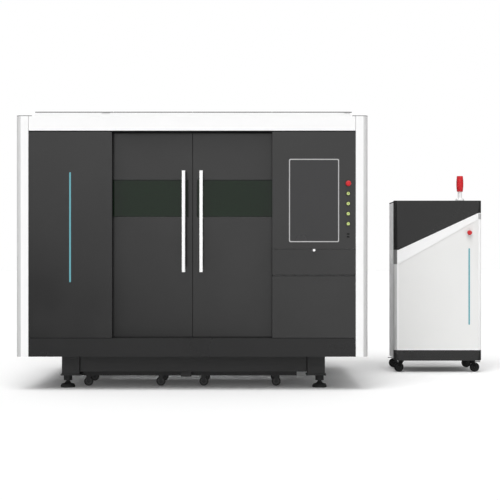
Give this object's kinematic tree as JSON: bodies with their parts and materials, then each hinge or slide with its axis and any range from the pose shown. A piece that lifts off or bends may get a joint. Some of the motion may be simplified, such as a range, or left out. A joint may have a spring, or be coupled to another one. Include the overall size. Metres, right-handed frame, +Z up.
{
  "type": "fiber laser cutting machine",
  "caption": "Enclosed flat bed laser cutting machine with sliding doors, operator console, gantry, scrap carts and a separate source cabinet on casters.",
  "frame": {"origin": "on the floor, at the middle of the box round the machine and its cabinet", "axes": "+X to the operator's right along the front, +Y from the front to the rear, +Z up"},
  "size_m": [3.681, 2.318, 2.065],
  "materials": {
    "white_paint": "smooth satin powder coat",
    "dark_paint": "fine textured satin powder coat",
    "skirt_paint": "fine textured satin powder coat",
    "frame_paint": "textured paint over welded steel",
    "grey_paint": "smooth satin powder coat",
    "black_paint": "smooth satin powder coat",
    "steel": "ground steel",
    "slat_steel": "scaled hot rolled steel",
    "aluminium": "satin anodised",
    "screen_border": "satin anodised",
    "screen": "dark panel, switched off",
    "laser_glass": "dark green laser safety glass",
    "handle_white": "gloss powder coat",
    "strip_light": "diffuser of a light strip",
    "collar_plastic": "moulded bezel",
    "button_green": "moulded cap",
    "button_red": "moulded mushroom head",
    "keyboard_plastic": "moulded keys",
    "foot_rubber": "moulded pad on a zinc stud",
    "wheel_rubber": "moulded tread",
    "caster_plastic": "moulded fork",
    "beacon_red": "translucent moulded lens",
    "beacon_white": "moulded stand"
  },
  "bodies": {
    "root": {"bed_frame": "frame_paint", "levelling_feet": "foot_rubber", "slat_bed": "slat_steel", "left_column": "white_paint", "right_column": "white_paint", "header_beam": "white_paint", "roof_cover": "white_paint", "left_side_panel": "white_paint", "right_side_panel": "white_paint", "rear_panel": "white_paint", "front_skirt": "skirt_paint", "left_front_panel": "dark_paint", "light_strips": "strip_light", "console_panel": "dark_paint", "screen_frame": "screen_border", "screen_glass": "screen", "button_collars": "collar_plastic", "lower_console_panel": "dark_paint", "door_tracks": "steel", "cabinet_body": "grey_paint", "cabinet_top_cover": "black_paint", "cabinet_front_panel": "white_paint", "cabinet_plinth": "black_paint", "beacon_stand": "beacon_white", "beacon_lens": "beacon_red"},
    "left_door": {"left_door": "dark_paint", "left_window": "laser_glass", "left_handle": "handle_white"},
    "right_door": {"right_door": "dark_paint", "right_window": "laser_glass", "right_handle": "handle_white"},
    "keyboard_flap": {"keyboard_flap": "dark_paint", "keyboard": "keyboard_plastic"},
    "emergency_stop_button": {"emergency_stop_button": "button_red"},
    "cabinet_stop_button": {"cabinet_stop_button": "button_red"},
    "gantry": {"gantry_beam": "steel"},
    "head_carriage": {"head_carriage": "aluminium"},
    "cutting_head": {"cutting_head": "aluminium"},
    "left_cart": {"left_cart": "frame_paint"},
    "right_cart": {"right_cart": "frame_paint"},
    "push_button_1": {"push_button_1": "button_green"},
    "push_button_2": {"push_button_2": "button_green"},
    "push_button_3": {"push_button_3": "button_green"},
    "push_button_4": {"push_button_4": "button_green"},
    "left_cart_wheel_1": {"left_cart_wheel_1": "wheel_rubber"},
    "left_cart_wheel_2": {"left_cart_wheel_2": "wheel_rubber"},
    "left_cart_wheel_3": {"left_cart_wheel_3": "wheel_rubber"},
    "left_cart_wheel_4": {"left_cart_wheel_4": "wheel_rubber"},
    "right_cart_wheel_1": {"right_cart_wheel_1": "wheel_rubber"},
    "right_cart_wheel_2": {"right_cart_wheel_2": "wheel_rubber"},
    "right_cart_wheel_3": {"right_cart_wheel_3": "wheel_rubber"},
    "right_cart_wheel_4": {"right_cart_wheel_4": "wheel_rubber"},
    "caster_fork_1": {"caster_fork_1": "caster_plastic"},
    "caster_wheel_1": {"caster_wheel_1": "wheel_rubber"},
    "caster_fork_2": {"caster_fork_2": "caster_plastic"},
    "caster_wheel_2": {"caster_wheel_2": "wheel_rubber"},
    "caster_fork_3": {"caster_fork_3": "caster_plastic"},
    "caster_wheel_3": {"caster_wheel_3": "wheel_rubber"},
    "caster_fork_4": {"caster_fork_4": "caster_plastic"},
    "caster_wheel_4": {"caster_wheel_4": "wheel_rubber"}
  },
  "joints": [
    {"name": "left_door_slide", "type": "slide", "parent": "root", "child": "left_door", "axis": [-1, 0, 0], "range_m": [0, 0.48]},
    {"name": "right_door_slide", "type": "slide", "parent": "root", "child": "right_door", "axis": [1, 0, 0], "range_m": [0, 0.48]},
    {"name": "keyboard_flap_hinge", "type": "hinge", "parent": "root", "child": "keyboard_flap", "pos_m": [0.3495, -1.1165, 0.85], "axis": [1, 0, 0], "range_deg": [0, 90]},
    {"name": "emergency_stop_press", "type": "slide", "parent": "root", "child": "emergency_stop_button", "axis": [0, 1, 0], "range_m": [0, 0.005], "stiffness_N_per_m": 1500},
    {"name": "cabinet_stop_press", "type": "slide", "parent": "root", "child": "cabinet_stop_button", "axis": [0, 1, 0], "range_m": [0, 0.005], "stiffness_N_per_m": 1500},
    {"name": "push_button_1_press", "type": "slide", "parent": "root", "child": "push_button_1", "axis": [0, 1, 0], "range_m": [0, 0.003], "stiffness_N_per_m": 800},
    {"name": "push_button_2_press", "type": "slide", "parent": "root", "child": "push_button_2", "axis": [0, 1, 0], "range_m": [0, 0.003], "stiffness_N_per_m": 800},
    {"name": "push_button_3_press", "type": "slide", "parent": "root", "child": "push_button_3", "axis": [0, 1, 0], "range_m": [0, 0.003], "stiffness_N_per_m": 800},
    {"name": "push_button_4_press", "type": "slide", "parent": "root", "child": "push_button_4", "axis": [0, 1, 0], "range_m": [0, 0.003], "stiffness_N_per_m": 800},
    {"name": "gantry_travel", "type": "slide", "parent": "root", "child": "gantry", "axis": [0, 1, 0], "range_m": [-1.2, 0]},
    {"name": "head_travel", "type": "slide", "parent": "gantry", "child": "head_carriage", "axis": [1, 0, 0], "range_m": [-0.65, 0.65]},
    {"name": "head_height", "type": "slide", "parent": "head_carriage", "child": "cutting_head", "axis": [0, 0, 1], "range_m": [-0.09, 0]},
    {"name": "left_cart_roll", "type": "slide", "parent": "root", "child": "left_cart", "axis": [-1, 0, 0], "range_m": [0, 0.8]},
    {"name": "left_cart_wheel_1_spin", "type": "hinge", "parent": "left_cart", "child": "left_cart_wheel_1", "pos_m": [-1.3545, -0.697, 0.035], "axis": [0, 1, 0], "continuous": true},
    {"name": "left_cart_wheel_2_spin", "type": "hinge", "parent": "left_cart", "child": "left_cart_wheel_2", "pos_m": [-0.8025, -0.697, 0.035], "axis": [0, 1, 0], "continuous": true},
    {"name": "left_cart_wheel_3_spin", "type": "hinge", "parent": "left_cart", "child": "left_cart_wheel_3", "pos_m": [-1.3545, -0.267, 0.035], "axis": [0, 1, 0], "continuous": true},
    {"name": "left_cart_wheel_4_spin", "type": "hinge", "parent": "left_cart", "child": "left_cart_wheel_4", "pos_m": [-0.8025, -0.267, 0.035], "axis": [0, 1, 0], "continuous": true},
    {"name": "right_cart_roll", "type": "slide", "parent": "root", "child": "right_cart", "axis": [1, 0, 0], "range_m": [0, 0.8]},
    {"name": "right_cart_wheel_1_spin", "type": "hinge", "parent": "right_cart", "child": "right_cart_wheel_1", "pos_m": [-0.4735, -0.697, 0.035], "axis": [0, 1, 0], "continuous": true},
    {"name": "right_cart_wheel_2_spin", "type": "hinge", "parent": "right_cart", "child": "right_cart_wheel_2", "pos_m": [0.0785, -0.697, 0.035], "axis": [0, 1, 0], "continuous": true},
    {"name": "right_cart_wheel_3_spin", "type": "hinge", "parent": "right_cart", "child": "right_cart_wheel_3", "pos_m": [-0.4735, -0.267, 0.035], "axis": [0, 1, 0], "continuous": true},
    {"name": "right_cart_wheel_4_spin", "type": "hinge", "parent": "right_cart", "child": "right_cart_wheel_4", "pos_m": [0.0785, -0.267, 0.035], "axis": [0, 1, 0], "continuous": true},
    {"name": "caster_1_swivel", "type": "hinge", "parent": "root", "child": "caster_fork_1", "pos_m": [1.1655, 0.569, 0.099], "axis": [0, 0, 1], "continuous": true},
    {"name": "caster_1_spin", "type": "hinge", "parent": "caster_fork_1", "child": "caster_wheel_1", "pos_m": [1.1475, 0.569, 0.04], "axis": [0, 1, 0], "continuous": true},
    {"name": "caster_2_swivel", "type": "hinge", "parent": "root", "child": "caster_fork_2", "pos_m": [1.7735, 0.569, 0.099], "axis": [0, 0, 1], "continuous": true},
    {"name": "caster_2_spin", "type": "hinge", "parent": "caster_fork_2", "child": "caster_wheel_2", "pos_m": [1.7915, 0.569, 0.04], "axis": [0, 1, 0], "continuous": true},
    {"name": "caster_3_swivel", "type": "hinge", "parent": "root", "child": "caster_fork_3", "pos_m": [1.1655, 1.039, 0.099], "axis": [0, 0, 1], "continuous": true},
    {"name": "caster_3_spin", "type": "hinge", "parent": "caster_fork_3", "child": "caster_wheel_3", "pos_m": [1.1475, 1.039, 0.04], "axis": [0, 1, 0], "continuous": true},
    {"name": "caster_4_swivel", "type": "hinge", "parent": "root", "child": "caster_fork_4", "pos_m": [1.7735, 1.039, 0.099], "axis": [0, 0, 1], "continuous": true},
    {"name": "caster_4_spin", "type": "hinge", "parent": "caster_fork_4", "child": "caster_wheel_4", "pos_m": [1.7915, 1.039, 0.04], "axis": [0, 1, 0], "continuous": true}
  ]
}
